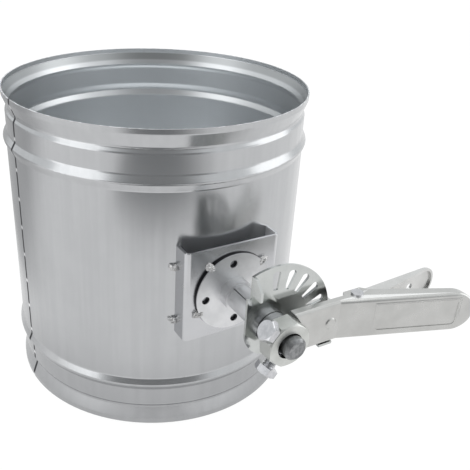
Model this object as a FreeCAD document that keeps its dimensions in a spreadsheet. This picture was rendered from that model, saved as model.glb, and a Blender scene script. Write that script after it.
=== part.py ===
import FreeCAD, Part
import math
import os
import re
import Sketcher

# Manual duct damper: a beaded sheet-metal pipe with a turning blade inside, a bracket and bearing on its
# wall, and a squeeze lever over a slotted quadrant. Millimetres; the origin is on the pipe's axis at its
# lower rim, +Z is up the pipe, the shaft leaves the wall along -Y and the lever points along +X.

SIZES = {
    # pipe: one rolled sheet, the same formed end at top and bottom
    "pipe_height": 257, "pipe_radius": 125, "pipe_sheet": 1, "rim_flare": 1.2, "neck_depth": 2.8,
    "neck_rise": 15, "band_slope": 3.5, "band_depth": 0.8, "band_width": 15.5, "bead_half": 6,
    "bead_height": 2.6, "form_bend": 2.5, "rim_curl": 4,
    "shaft_height": 129.5, "shaft_radius": 8.5, "running_fit": 0.05, "wall_clearance": 3,
    # bracket folded from sheet and the bearing flange on it
    "bracket_stand": 10, "bracket_sheet": 2, "bracket_half": 40, "bracket_below": 36.5, "bracket_above": 39,
    "bracket_depth": 25, "bracket_bend": 4, "bracket_bend_inner": 2,
    "flange_radius": 32, "flange_thick": 3, "collar_wall": 4, "collar_length": 12,
    "flange_hole_radius": 3.2, "flange_hole_pitch": 24.3,
    "weld_radius": 3, "flange_weld_radius": 2.6, "weld_upper": 21, "weld_lower": 26,
    # split tube that carries the quadrant
    "tube_wall": 1.5, "tube_clearance": 0.5, "tube_slit": 0.8, "tube_length": 42,
    "plate_thick": 2, "plate_rim": 49, "plate_edge": 22,
    "slot_inner": 30.2, "slot_margin": 4, "slot_half_inner": 1.9, "slot_half_outer": 3.2, "slot_round": 2.2,
    "slot_pitch": 18, "tab_start": 28, "tab_clearance": 0.8, "upper_tab_inner": 31, "upper_tab_outer": 45,
    "upper_tab_length": 10, "tab_slope": 7, "lower_tab_inner": 33, "lower_tab_outer": 44.5,
    "lower_tab_length": 14,
    # shaft, far bearing and blade
    "shaft_proud": 6.5, "shaft_chamfer": 2, "shaft_tail": 8, "bush_wall": 4, "bush_stand": 15,
    "bush_inset": 1.4, "end_washer_lap": 2.5, "end_washer_gap": 0.4, "end_washer_thick": 1.6,
    "ring_height": 3, "ring_thick": 1.5, "ring_groove": 1, "flat_depth": 2, "flat_margin": 2.6,
    "blade_clearance": 3.2, "blade_thick": 2, "blade_bolt_radius": 3, "blade_bolt_pitch": 80,
    "blade_head_radius": 5.77, "blade_head_thick": 4, "blade_nut_thick": 5, "blade_bolt_tail": 2,
    # lever hub with its two set bolts
    "bore_slack": 1.3, "hub_wall": 6.1, "hub_turn": 0.4, "hub_chamfer": 2.4, "hub_length": 13,
    "hub_shift": 1.1, "spacer_wall": 4, "spacer_gap": 0.4, "spacer_length": 10.1, "bolt_setback": 6.5,
    "bolt_radius": 4,
    "bolt_head_radius": 8.2, "bolt_head_thick": 5.5, "upper_bolt_proud": 7.4, "lower_bolt_proud": 11.1,
    # lever: pressed channel, flat at the hub and cranked outward along the grip
    "lever_start": 8.4, "web_stand": 4.2, "lever_sheet": 2, "crank_start": 47.5, "lever_reach": 149,
    "crank_slope": 0.3399015, "lever_half": 16.2, "lever_bend": 2.4, "hub_flange_depth": 7,
    "neck_flange_depth": 5.9, "ear_heel": 10, "ear_margin": 6, "ear_toe": 7, "ear_slope": 5,
    "grip_flange_depth": 4.7, "tip_flange_depth": 7.1, "dimple_station": 40.2, "dimple_radius": 4.8,
    "dimple_depth": 0.8, "notch_inner": 14.6, "notch_rise": 7, "panel_start": 75, "panel_length": 63,
    "panel_half": 10.5, "panel_depth": 0.5, "panel_round": 3,
    # trigger: second channel that nests in the lever, with a tongue behind the quadrant
    "pivot_station": 65, "pivot_inset": 3.7, "pivot_radius": 2.5, "pivot_head_radius": 4.5,
    "pivot_head_thick": 1.3,
    "trigger_heel": 7, "trigger_proud": 5, "trigger_clearance": 0.4, "trigger_sheet": 2, "trigger_inset": 6.5,
    "trigger_lean": 5.8, "cheek_margin": 2.8, "cheek_length": 27, "trigger_tip_depth": 3.3, "trigger_bend": 3,
    "trigger_hole_radius": 2.9, "trigger_hole_inset": 25.5, "trigger_hole_pitch": 16.5,
    "tongue_half": 4.5, "tongue_clearance": 3.5, "tongue_thick": 3, "tongue_room": 5, "tooth_inset": 2.8,
    "tooth_margin": 2, "tooth_half": 1, "tooth_gap": 0.4,
    # flat hairpin spring on the pivot
    "spring_radius": 3.4, "spring_sheet": 0.8, "spring_half": 4, "spring_leg": 14.5, "spring_rear_lean": 5,
    "spring_front_lean": 30,
}

# Sizes and places that follow from those above. Stations along the shaft run outward from the pipe's axis,
# and stations along the lever from the shaft's axis.
LINKED = {
    "rim_radius": "pipe_radius + rim_flare", "neck_radius": "pipe_radius - neck_depth",
    "band_radius": "pipe_radius - band_depth", "bead_radius": "pipe_radius + bead_height",
    "band_start": "neck_rise + band_slope", "bead_start": "band_start + band_width",
    "bead_rise": "bead_start + bead_half", "bead_end": "bead_rise + bead_half",
    "wall_hole": "shaft_radius + wall_clearance",
    "bracket_front": "pipe_radius + bracket_stand", "bracket_reach": "bracket_front - bracket_depth",
    "bracket_low": "shaft_height - bracket_below", "bracket_high": "shaft_height + bracket_above",
    "collar_radius": "shaft_radius + collar_wall", "collar_front": "bracket_front + collar_length",
    "tube_radius": "shaft_radius + tube_clearance + tube_wall", "plate_front": "collar_front + tube_length",
    "slot_outer": "plate_rim - slot_margin", "tab_face": "lever_half + tab_clearance",
    "upper_tab_front": "plate_front + upper_tab_length", "lower_tab_front": "plate_front + lower_tab_length",
    "far_bush_radius": "shaft_radius + bush_wall", "far_bush_back": "pipe_radius + bush_stand",
    "far_bush_front": "pipe_radius - bush_inset", "end_washer_radius": "far_bush_radius + end_washer_lap",
    "ring_radius": "shaft_radius + ring_height", "shaft_back": "far_bush_back + shaft_tail",
    "shaft_flat": "shaft_radius - flat_depth", "flat_half": "pipe_radius - flat_margin",
    "blade_radius": "pipe_radius - blade_clearance",
    "hub_bore": "shaft_radius + bore_slack", "hub_flat": "hub_bore + hub_wall",
    "hub_ring": "hub_flat - hub_turn",
    "spacer_radius": "shaft_radius + spacer_wall", "hub_back": "plate_front + spacer_gap + spacer_length",
    "hub_front": "hub_back + hub_length", "shaft_front": "hub_front + shaft_proud",
    "bolt_station": "hub_back + bolt_setback", "upper_head_top": "hub_flat + upper_bolt_proud",
    "lower_head_top": "hub_flat + lower_bolt_proud",
    "web_front": "hub_back + web_stand",
    "tip_front": "web_front + crank_slope * lever_reach - crank_slope * crank_start",
    "flange_back_start": "web_front - hub_flange_depth", "flange_back_end": "web_front - neck_flange_depth",
    "pivot_depth": "web_front - pivot_inset", "ear_back": "pivot_depth - ear_margin",
    "ear_start": "pivot_station - ear_heel", "ear_end": "pivot_station + ear_toe",
    "grip_start": "ear_end + ear_slope", "grip_back_start": "web_front - grip_flange_depth",
    "grip_back_end": "tip_front - tip_flange_depth",
    "trigger_start": "pivot_station - trigger_heel", "trigger_reach": "lever_reach + trigger_proud",
    "trigger_half": "lever_half - lever_sheet - trigger_clearance",
    "trigger_back": "pivot_depth - trigger_inset", "trigger_back_end": "trigger_back - trigger_lean",
    "trigger_cheek": "pivot_depth + cheek_margin", "trigger_cheek_end": "pivot_station + cheek_length",
    "trigger_tip_front": "trigger_back_end + trigger_tip_depth",
    "trigger_hole_far": "trigger_reach - trigger_hole_inset",
    "trigger_hole_near": "trigger_hole_far - trigger_hole_pitch",
    "tongue_turn": "plate_rim + tongue_clearance", "tongue_front": "plate_front - plate_thick - tongue_room",
    "tooth_inner": "slot_inner + tooth_inset", "tooth_outer": "slot_outer - tooth_margin",
}

SLOT_COUNT = 6
FLANGE_HOLE_COUNT = 4
FLANGE_HOLE_TURN = 4
BLADE_BOLT_COUNT = 3
FLANGE_WELD_ANGLES = (39, 130, 204, 310)
TUBE_SLIT_ANGLE = 123
HUB_SIDES = 8
UPPER_BOLT_ANGLE = 141
LOWER_BOLT_ANGLE = 233

doc = FreeCAD.newDocument("damper")
sheet = doc.addObject("Spreadsheet::Sheet", "Sizes")
for row, (name, amount) in enumerate(SIZES.items(), start=1):
    sheet.set("A%d" % row, name)
    sheet.set("B%d" % row, str(amount))
    sheet.setAlias("B%d" % row, name)
doc.recompute()

VEC = FreeCAD.Vector
ALONG_SHAFT = FreeCAD.Rotation(VEC(1, 0, 0), 90)


def number(text):
    """Value of a sum of products such as "-plate_front + 2 * plate_thick"."""
    total = 0.0
    for sign, term in re.findall(r"([+-]?)\s*([\w.]+(?:\s*[*/]\s*[\w.]+)*)", text):
        product = 1.0
        for mark, factor in re.findall(r"([*/]?)\s*([\w.]+)", term):
            amount = VALUES[factor] if factor in VALUES else float(factor)
            product = product / amount if mark == "/" else product * amount
        total += -product if sign == "-" else product
    return total


VALUES = dict(SIZES)
for name, text in LINKED.items():
    VALUES[name] = number(text)


def bound(text):
    """The same sum as an expression on the sheet, with the linked sizes written out."""
    def written(word):
        name = word.group(0)
        return "(%s)" % bound(LINKED[name]) if name in LINKED else "Sizes." + name
    return re.sub(r"[A-Za-z_]\w*", written, text)


def bind(thing, prop, text):
    thing.setExpression(prop, bound(text))


def new_body(label, height="shaft_height"):
    body = doc.addObject("PartDesign::Body", label)
    body.Label = label
    bind(body, "Placement.Base.z", height)
    return body


def origin_item(body, role):
    return [item for item in body.Origin.OriginFeatures if item.Role == role][0]


def new_sketch(body, role, name):
    sketch = body.newObject("Sketcher::SketchObject", name)
    sketch.AttachmentSupport = [(origin_item(body, role), "")]
    sketch.MapMode = "FlatFace"
    return sketch


def pin_point(sketch, curve, end, x_text, y_text):
    """Fix one end of a curve at bound distances from the sketch's origin."""
    for kind, text, axis in (("DistanceX", x_text, -2), ("DistanceY", y_text, -1)):
        if text == "0":
            sketch.addConstraint(Sketcher.Constraint("PointOnObject", curve, end, axis))
        else:
            place = sketch.addConstraint(Sketcher.Constraint(kind, -1, 1, curve, end, number(text)))
            bind(sketch, "Constraints[%d]" % place, text)


def add_polygon(sketch, corners):
    first = sketch.GeometryCount
    spots = [VEC(number(x), number(y), 0) for x, y in corners]
    count = len(spots)
    for i in range(count):
        sketch.addGeometry(Part.LineSegment(spots[i], spots[(i + 1) % count]))
    for i in range(count):
        sketch.addConstraint(Sketcher.Constraint("Coincident", first + i, 2, first + (i + 1) % count, 1))
    for i in range(count):
        pin_point(sketch, first + i, 1, *corners[i])


def add_circle(sketch, x_text, y_text, radius_text):
    centre = VEC(number(x_text), number(y_text), 0)
    curve = sketch.addGeometry(Part.Circle(centre, VEC(0, 0, 1), number(radius_text)))
    pin_point(sketch, curve, 3, x_text, y_text)
    place = sketch.addConstraint(Sketcher.Constraint("Radius", curve, number(radius_text)))
    bind(sketch, "Constraints[%d]" % place, radius_text)


def polygon(body, role, corners, name):
    sketch = new_sketch(body, role, name)
    add_polygon(sketch, corners)
    return sketch


def circle(body, role, x_text, y_text, radius_text, name):
    sketch = new_sketch(body, role, name)
    add_circle(sketch, x_text, y_text, radius_text)
    return sketch


def pad(body, sketch, length, name, both=False, flip=False):
    feature = body.newObject("PartDesign::Pad", name)
    feature.Profile = sketch
    feature.SideType = "Symmetric" if both else "One side"
    feature.Reversed = flip
    bind(feature, "Length", length)
    return feature


def pocket(body, sketch, length, name, both=True, flip=False):
    before = body.Tip.Shape.Volume if not body.Tip.Shape.isNull() else 0
    feature = body.newObject("PartDesign::Pocket", name)
    feature.Profile = sketch
    feature.SideType = "Symmetric" if both else "One side"
    feature.Reversed = flip
    bind(feature, "Length", length)
    doc.recompute()
    if before and feature.Shape.Volume >= before:
        raise RuntimeError(name + " removes nothing")
    return feature


def turned(label, corners, role="XY_Plane", height="shaft_height"):
    """Body of revolution: corners are (radius, station along the sketch's upright axis)."""
    body = new_body(label, height)
    sketch = polygon(body, role, corners, label + "_profile")
    feature = body.newObject("PartDesign::Revolution", label + "_turn")
    feature.Profile = sketch
    feature.ReferenceAxis = (sketch, ["V_Axis"])
    feature.Angle = 360
    doc.recompute()
    return body


def fillet(body, radius, wanted, name):
    """Round every edge of the body's tip for which wanted(edge) holds."""
    doc.recompute()
    base = body.Tip
    names = ["Edge%d" % i for i, edge in enumerate(base.Shape.Edges, start=1) if wanted(edge)]
    if not names:
        raise RuntimeError(name + " finds no edge")
    feature = body.newObject("PartDesign::Fillet", name)
    feature.Base = (base, names)
    bind(feature, "Radius", radius)
    doc.recompute()
    return feature


def middle(edge):
    return edge.valueAt((edge.FirstParameter + edge.LastParameter) / 2)


def cylinder(name, radius, length, x="0", y="0", z="0", rotation=FreeCAD.Rotation()):
    thing = doc.addObject("Part::Cylinder", name)
    thing.Placement = FreeCAD.Placement(VEC(number(x), number(y), number(z)), rotation)
    bind(thing, "Radius", radius)
    bind(thing, "Height", length)
    for axis, text in (("x", x), ("y", y), ("z", z)):
        bind(thing, "Placement.Base." + axis, text)
    return thing


def cut(name, base, *tools):
    for i, tool in enumerate(tools):
        result = doc.addObject("Part::Cut", name if i == len(tools) - 1 else "%s_cut%d" % (name, i))
        result.Base = base
        result.Tool = tool
        result.Refine = True
        base = result
    result.Label = name
    return result


def joined(name, kind, pieces):
    result = doc.addObject(kind, name)
    if kind == "Part::Compound":
        result.Links = pieces
    else:
        result.Shapes = pieces
    result.Label = name
    return result


# Pipe: the formed end is drawn once from the rim inward and mirrored for the other end.
def formed_end(inset):
    return [
        ("rim_radius" + inset, "0"),
        ("rim_radius" + inset, "rim_curl"),
        ("neck_radius" + inset, "neck_rise"),
        ("band_radius" + inset, "band_start"),
        ("band_radius" + inset, "bead_start"),
        ("bead_radius" + inset, "bead_rise"),
        ("pipe_radius" + inset, "bead_end"),
    ]


def wall_side(inset):
    low = formed_end(inset)
    high = [(radius, "pipe_height - " + rise if rise != "0" else "pipe_height") for radius, rise in low[::-1]]
    return low + high


pipe_body = turned("pipe_body", wall_side("") + wall_side(" - pipe_sheet")[::-1], "XZ_Plane", "0")


def is_formed_ring(edge):
    rise = edge.BoundBox.ZMin
    flat = edge.BoundBox.ZLength < 0.01
    return flat and number("rim_curl") - 0.1 < rise < number("pipe_height - rim_curl") + 0.1


fillet(pipe_body, "form_bend", is_formed_ring, "pipe_forming")
for side, reach, hole in (("front", False, "wall_hole"), ("far", True, "far_bush_radius")):
    spot = circle(pipe_body, "XZ_Plane", "0", "shaft_height", hole, "pipe_%s_hole" % side)
    pocket(pipe_body, spot, "pipe_radius + 10", "pipe_%s_cut" % side, both=False, flip=not reach)

# Bracket: channel with its legs cut to the pipe's curve and a hole for the bearing collar's spigot.
mounting_bracket = new_body("mounting_bracket", "0")
bracket_plan = polygon(mounting_bracket, "XY_Plane", [
    ("-bracket_half", "-bracket_reach"),
    ("-bracket_half", "-bracket_front"),
    ("bracket_half", "-bracket_front"),
    ("bracket_half", "-bracket_reach"),
    ("bracket_half - bracket_sheet", "-bracket_reach"),
    ("bracket_half - bracket_sheet", "-bracket_front + bracket_sheet"),
    ("-bracket_half + bracket_sheet", "-bracket_front + bracket_sheet"),
    ("-bracket_half + bracket_sheet", "-bracket_reach"),
], "bracket_plan")
bind(bracket_plan, "AttachmentOffset.Base.z", "bracket_low")
pad(mounting_bracket, bracket_plan, "bracket_high - bracket_low", "bracket_channel")


def is_outer_fold(edge):
    spot = middle(edge)
    return edge.BoundBox.ZLength > 50 and spot.y < -number("bracket_front") + 0.1


def is_inner_fold(edge):
    spot = middle(edge)
    inner = number("bracket_front - bracket_sheet")
    return edge.BoundBox.ZLength > 50 and abs(spot.y + inner) < 0.1


fillet(mounting_bracket, "bracket_bend", is_outer_fold, "bracket_fold_outer")
fillet(mounting_bracket, "bracket_bend_inner", is_inner_fold, "bracket_fold_inner")
pipe_curve = circle(mounting_bracket, "XY_Plane", "0", "0", "pipe_radius", "bracket_curve")
pocket(mounting_bracket, pipe_curve, "4 * pipe_height", "bracket_saddle")
collar_spot = circle(mounting_bracket, "XZ_Plane", "0", "shaft_height", "wall_hole", "bracket_hole")
pocket(mounting_bracket, collar_spot, "4 * pipe_radius", "bracket_bore")

# Bearing flange: turned disc and collar, drilled on its bolt circle.
bearing_flange = turned("bearing_flange", [
    ("shaft_radius + running_fit", "-bracket_front"),
    ("flange_radius", "-bracket_front"),
    ("flange_radius", "-bracket_front - flange_thick"),
    ("collar_radius", "-bracket_front - flange_thick"),
    ("collar_radius", "-collar_front"),
    ("shaft_radius + running_fit", "-collar_front"),
])
flange_spot = circle(bearing_flange, "XZ_Plane", "flange_hole_pitch", "0", "flange_hole_radius",
                     "flange_hole")
flange_hole = pocket(bearing_flange, flange_spot, "4 * pipe_radius", "flange_drill")
flange_ring = bearing_flange.newObject("PartDesign::PolarPattern", "flange_holes")
flange_ring.Originals = [flange_hole]
flange_ring.Axis = (origin_item(bearing_flange, "Y_Axis"), [""])
flange_ring.Angle = 360
flange_ring.Occurrences = FLANGE_HOLE_COUNT
bearing_flange.Tip = flange_ring
bearing_flange.Placement = FreeCAD.Placement(VEC(), FreeCAD.Rotation(VEC(0, 1, 0), -FLANGE_HOLE_TURN))
bind(bearing_flange, "Placement.Base.z", "shaft_height")


# Weld tacks: small beads laid in the corners between the welded pieces.
def bead(name, radius, spot):
    ball = doc.addObject("Part::Sphere", name)
    ball.Placement.Base = spot
    bind(ball, "Radius", radius)
    return ball


leg_wall = math.sqrt(VALUES["pipe_radius"] ** 2 - VALUES["bracket_half"] ** 2)
bracket_beads = []
for side in (-1, 1):
    for rise in (VALUES["weld_upper"], -VALUES["weld_lower"]):
        spot = VEC(side * VALUES["bracket_half"], -leg_wall, VALUES["shaft_height"] + rise)
        bracket_beads.append(bead("bracket_bead%d" % len(bracket_beads), "weld_radius", spot))
flange_beads = []
for angle in FLANGE_WELD_ANGLES:
    turn = math.radians(angle)
    spot = VEC(VALUES["flange_radius"] * math.cos(turn), -VALUES["bracket_front"],
               VALUES["shaft_height"] + VALUES["flange_radius"] * math.sin(turn))
    flange_beads.append(bead("flange_bead%d" % len(flange_beads), "flange_weld_radius", spot))
doc.recompute()
pipe_core = cylinder("pipe_core", "pipe_radius", "pipe_height")
bracket_inside = doc.addObject("Part::Box", "bracket_inside")
bind(bracket_inside, "Length", "2 * bracket_half")
bind(bracket_inside, "Width", "bracket_front")
bind(bracket_inside, "Height", "pipe_height")
bind(bracket_inside, "Placement.Base.x", "-bracket_half")
bind(bracket_inside, "Placement.Base.y", "-bracket_front")
bracket_welds = cut("bracket_welds", joined("bracket_beads", "Part::MultiFuse", bracket_beads), pipe_core,
                    bracket_inside)
flange_disc = cylinder("flange_disc", "flange_radius", "flange_thick", "0", "-bracket_front", "shaft_height",
                       ALONG_SHAFT)
flange_welds = cut("flange_welds", joined("flange_beads", "Part::MultiFuse", flange_beads), bracket_inside,
                   flange_disc)

# Bearing tube: rolled tube with an open seam, standing on the collar and holding the quadrant at its end.
bearing_tube = turned("bearing_tube", [
    ("shaft_radius + tube_clearance", "-collar_front"),
    ("tube_radius", "-collar_front"),
    ("tube_radius", "-plate_front"),
    ("shaft_radius + tube_clearance", "-plate_front"),
])
slit = polygon(bearing_tube, "XZ_Plane", [
    ("0", "-tube_slit / 2"), ("2 * tube_radius", "-tube_slit / 2"),
    ("2 * tube_radius", "tube_slit / 2"), ("0", "tube_slit / 2"),
], "tube_seam")
pocket(bearing_tube, slit, "4 * plate_front", "tube_slitting")
bearing_tube.Placement = FreeCAD.Placement(VEC(), FreeCAD.Rotation(VEC(0, 1, 0), -TUBE_SLIT_ANGLE))
bind(bearing_tube, "Placement.Base.z", "shaft_height")

# Quadrant: fan-shaped plate with tapered radial slots and a stop tab folded forward at each end.
quadrant_plate = new_body("quadrant_plate")
fan = new_sketch(quadrant_plate, "XZ_Plane", "fan_outline")
edge_at = VALUES["plate_edge"]
rim_at = math.sqrt(VALUES["plate_rim"] ** 2 - edge_at ** 2)
turn = math.atan2(rim_at, -edge_at)
fan.addGeometry(Part.LineSegment(VEC(-edge_at, 0, 0), VEC(-edge_at, rim_at, 0)))
rim_circle = Part.Circle(VEC(), VEC(0, 0, 1), VALUES["plate_rim"])
fan.addGeometry(Part.ArcOfCircle(rim_circle, math.pi / 2 - turn, turn))
fan.addGeometry(Part.LineSegment(VEC(rim_at, -edge_at, 0), VEC(0, -edge_at, 0)))
fan.addGeometry(Part.ArcOfCircle(Part.Circle(VEC(), VEC(0, 0, 1), edge_at), math.pi, 1.5 * math.pi))
for a, a_end, b, b_end in ((0, 2, 1, 2), (1, 1, 2, 1), (2, 2, 3, 2), (3, 1, 0, 1)):
    fan.addConstraint(Sketcher.Constraint("Coincident", a, a_end, b, b_end))
fan.addConstraint(Sketcher.Constraint("Coincident", 1, 3, -1, 1))
fan.addConstraint(Sketcher.Constraint("Coincident", 3, 3, -1, 1))
fan.addConstraint(Sketcher.Constraint("Vertical", 0))
fan.addConstraint(Sketcher.Constraint("Horizontal", 2))
fan.addConstraint(Sketcher.Constraint("PointOnObject", 0, 1, -1))
fan.addConstraint(Sketcher.Constraint("PointOnObject", 2, 2, -2))
for curve, text in ((1, "plate_rim"), (3, "plate_edge")):
    place = fan.addConstraint(Sketcher.Constraint("Radius", curve, number(text)))
    bind(fan, "Constraints[%d]" % place, text)
add_circle(fan, "0", "0", "tube_radius")
bind(fan, "AttachmentOffset.Base.z", "plate_front - plate_thick")
pad(quadrant_plate, fan, "plate_thick", "fan_plate")
doc.recompute()
relief = new_sketch(quadrant_plate, "XZ_Plane", "tab_relief_outline")
add_polygon(relief, [
    ("tab_start", "-tab_face - plate_thick"), ("plate_rim", "-tab_face - plate_thick"),
    ("plate_rim", "-plate_rim"), ("tab_start", "-plate_rim"),
])
add_polygon(relief, [
    ("-tab_face - plate_thick", "tab_start"), ("-plate_rim", "tab_start"),
    ("-plate_rim", "plate_rim"), ("-tab_face - plate_thick", "plate_rim"),
])
pocket(quadrant_plate, relief, "4 * plate_front", "tab_relief")
lower_tab = polygon(quadrant_plate, "XZ_Plane", [
    ("lower_tab_inner", "-tab_face - plate_thick"), ("lower_tab_outer", "-tab_face - plate_thick"),
    ("lower_tab_outer", "-tab_face"), ("lower_tab_inner", "-tab_face"),
], "lower_tab_outline")
bind(lower_tab, "AttachmentOffset.Base.z", "plate_front - plate_thick")
pad(quadrant_plate, lower_tab, "lower_tab_front - plate_front + plate_thick", "lower_tab")
upper_tab = polygon(quadrant_plate, "YZ_Plane", [
    ("-plate_front + plate_thick", "upper_tab_inner"),
    ("-upper_tab_front", "upper_tab_inner"),
    ("-upper_tab_front", "upper_tab_outer - tab_slope"),
    ("-upper_tab_front + tab_slope", "upper_tab_outer"),
    ("-plate_front + plate_thick", "upper_tab_outer"),
], "upper_tab_outline")
bind(upper_tab, "AttachmentOffset.Base.z", "-tab_face - plate_thick")
pad(quadrant_plate, upper_tab, "plate_thick", "upper_tab")
doc.recompute()
slot = polygon(quadrant_plate, "XZ_Plane", [
    ("slot_inner", "-slot_half_inner"),
    ("slot_outer - slot_round", "-slot_half_outer"),
    ("slot_outer - slot_round / 3", "-0.75 * slot_half_outer"),
    ("slot_outer", "-0.3 * slot_half_outer"),
    ("slot_outer", "0.3 * slot_half_outer"),
    ("slot_outer - slot_round / 3", "0.75 * slot_half_outer"),
    ("slot_outer - slot_round", "slot_half_outer"),
    ("slot_inner", "slot_half_inner"),
], "slot_outline")
slot_cut = pocket(quadrant_plate, slot, "4 * plate_front", "slot_cut")
slots = quadrant_plate.newObject("PartDesign::PolarPattern", "slots")
slots.Originals = [slot_cut]
slots.Axis = (origin_item(quadrant_plate, "Y_Axis"), [""])
slots.Reversed = True
slots.Occurrences = SLOT_COUNT
bind(slots, "Angle", "%d * slot_pitch" % (SLOT_COUNT - 1))
quadrant_plate.Tip = slots

# Shaft: one bar with a flat on each side for the blade, a groove at the far end and a chamfered front end.
shaft = turned("shaft", [
    ("0", "shaft_back"),
    ("shaft_radius - shaft_chamfer / 2", "shaft_back"),
    ("shaft_radius", "shaft_back - shaft_chamfer / 2"),
    ("shaft_radius", "far_bush_back + end_washer_thick + ring_thick"),
    ("shaft_radius - ring_groove", "far_bush_back + end_washer_thick + ring_thick"),
    ("shaft_radius - ring_groove", "far_bush_back + end_washer_thick"),
    ("shaft_radius", "far_bush_back + end_washer_thick"),
    ("shaft_radius", "-shaft_front + shaft_chamfer"),
    ("shaft_radius - shaft_chamfer", "-shaft_front"),
    ("0", "-shaft_front"),
])
flats = new_sketch(shaft, "XZ_Plane", "shaft_flats")
for sign in ("", "-"):
    add_polygon(flats, [
        ("-2 * shaft_radius", sign + "shaft_flat"), ("2 * shaft_radius", sign + "shaft_flat"),
        ("2 * shaft_radius", sign + "2 * shaft_radius"), ("-2 * shaft_radius", sign + "2 * shaft_radius"),
    ])
pocket(shaft, flats, "2 * flat_half", "flat_milling")


def bolt_row(body, name):
    """Bolt holes spaced along the shaft, the middle one on the pipe's axis."""
    sketch = new_sketch(body, "XY_Plane", name)
    for place in range(BLADE_BOLT_COUNT):
        steps = place - (BLADE_BOLT_COUNT - 1) // 2
        add_circle(sketch, "0", "%d * blade_bolt_pitch" % steps if steps else "0", "blade_bolt_radius")
    return sketch


pocket(shaft, bolt_row(shaft, "shaft_bolt_row"), "4 * shaft_radius", "shaft_drilling")

far_bush = turned("far_bush", [
    ("shaft_radius + running_fit", "far_bush_front"),
    ("far_bush_radius", "far_bush_front"),
    ("far_bush_radius", "far_bush_back"),
    ("shaft_radius + running_fit", "far_bush_back"),
])
end_washer = turned("end_washer", [
    ("shaft_radius + running_fit", "far_bush_back + end_washer_gap"),
    ("end_washer_radius", "far_bush_back + end_washer_gap"),
    ("end_washer_radius", "far_bush_back + end_washer_thick"),
    ("shaft_radius + running_fit", "far_bush_back + end_washer_thick"),
])
retaining_ring = turned("retaining_ring", [
    ("shaft_radius - ring_groove", "far_bush_back + end_washer_thick"),
    ("ring_radius", "far_bush_back + end_washer_thick"),
    ("ring_radius", "far_bush_back + end_washer_thick + ring_thick"),
    ("shaft_radius - ring_groove", "far_bush_back + end_washer_thick + ring_thick"),
])

# Blade: flat disc on the shaft's upper flat, held by bolts through the shaft.
damper_blade = new_body("damper_blade")
disc = circle(damper_blade, "XY_Plane", "0", "0", "blade_radius", "blade_outline")
bind(disc, "AttachmentOffset.Base.z", "shaft_flat")
pad(damper_blade, disc, "blade_thick", "blade_disc")
doc.recompute()
pocket(damper_blade, bolt_row(damper_blade, "blade_bolt_row"), "8 * shaft_radius", "blade_drilling")


def hexagon(name, radius, thick, y, z):
    prism = doc.addObject("Part::Prism", name)
    prism.Polygon = 6
    bind(prism, "Circumradius", radius)
    bind(prism, "Height", thick)
    bind(prism, "Placement.Base.y", y)
    bind(prism, "Placement.Base.z", z)
    return prism


bolt_pieces = []
nut_pieces = []
for place in range(BLADE_BOLT_COUNT):
    station = "%d * blade_bolt_pitch" % (place - (BLADE_BOLT_COUNT - 1) // 2)
    head = hexagon("blade_head%d" % place, "blade_head_radius", "blade_head_thick", station,
                   "shaft_height + shaft_flat + blade_thick")
    shank = cylinder("blade_shank%d" % place, "blade_bolt_radius",
                     "2 * shaft_flat + blade_thick + blade_nut_thick + blade_bolt_tail", "0", station,
                     "shaft_height - shaft_flat - blade_nut_thick - blade_bolt_tail")
    bolt_pieces.append(joined("blade_bolt%d" % place, "Part::MultiFuse", [head, shank]))
    blank = hexagon("blade_nut_blank%d" % place, "blade_head_radius", "blade_nut_thick", station,
                    "shaft_height - shaft_flat - blade_nut_thick")
    nut_pieces.append(cut("blade_nut%d" % place, blank, shank))
blade_bolts = joined("blade_bolts", "Part::Compound", bolt_pieces)
blade_nuts = joined("blade_nuts", "Part::Compound", nut_pieces)

# Lever hub: bored eight-sided bar with a turned front, pulled to one side by its set bolts so that the shaft
# bears on the far wall; a round spacer keeps it off the quadrant.
hub_spacer = turned("hub_spacer", [
    ("shaft_radius + running_fit", "-plate_front - spacer_gap"),
    ("spacer_radius", "-plate_front - spacer_gap"),
    ("spacer_radius", "-hub_back"),
    ("shaft_radius + running_fit", "-hub_back"),
])
hub_turning = turned("hub_turning", [
    ("hub_bore", "-hub_back"),
    ("hub_ring + hub_chamfer", "-hub_back"),
    ("hub_ring + hub_chamfer", "-hub_front + 0.7 * hub_chamfer"),
    ("hub_ring", "-hub_front"),
    ("hub_bore", "-hub_front"),
])
bind(hub_turning, "Placement.Base.x", "-hub_shift")
hub_bar = doc.addObject("Part::Prism", "hub_bar")
hub_bar.Polygon = HUB_SIDES
hub_bar.Placement.Rotation = ALONG_SHAFT * FreeCAD.Rotation(VEC(0, 0, 1), UPPER_BOLT_ANGLE + 180 / HUB_SIDES)
bind(hub_bar, "Circumradius", "%.5f * hub_flat" % (1 / math.cos(math.pi / HUB_SIDES)))
bind(hub_bar, "Height", "hub_front - hub_back")
bind(hub_bar, "Placement.Base.x", "-hub_shift")
bind(hub_bar, "Placement.Base.y", "-hub_back")
bind(hub_bar, "Placement.Base.z", "shaft_height")
hub_blank = doc.addObject("Part::MultiCommon", "hub_blank")
hub_blank.Shapes = [hub_bar, hub_turning]


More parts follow.
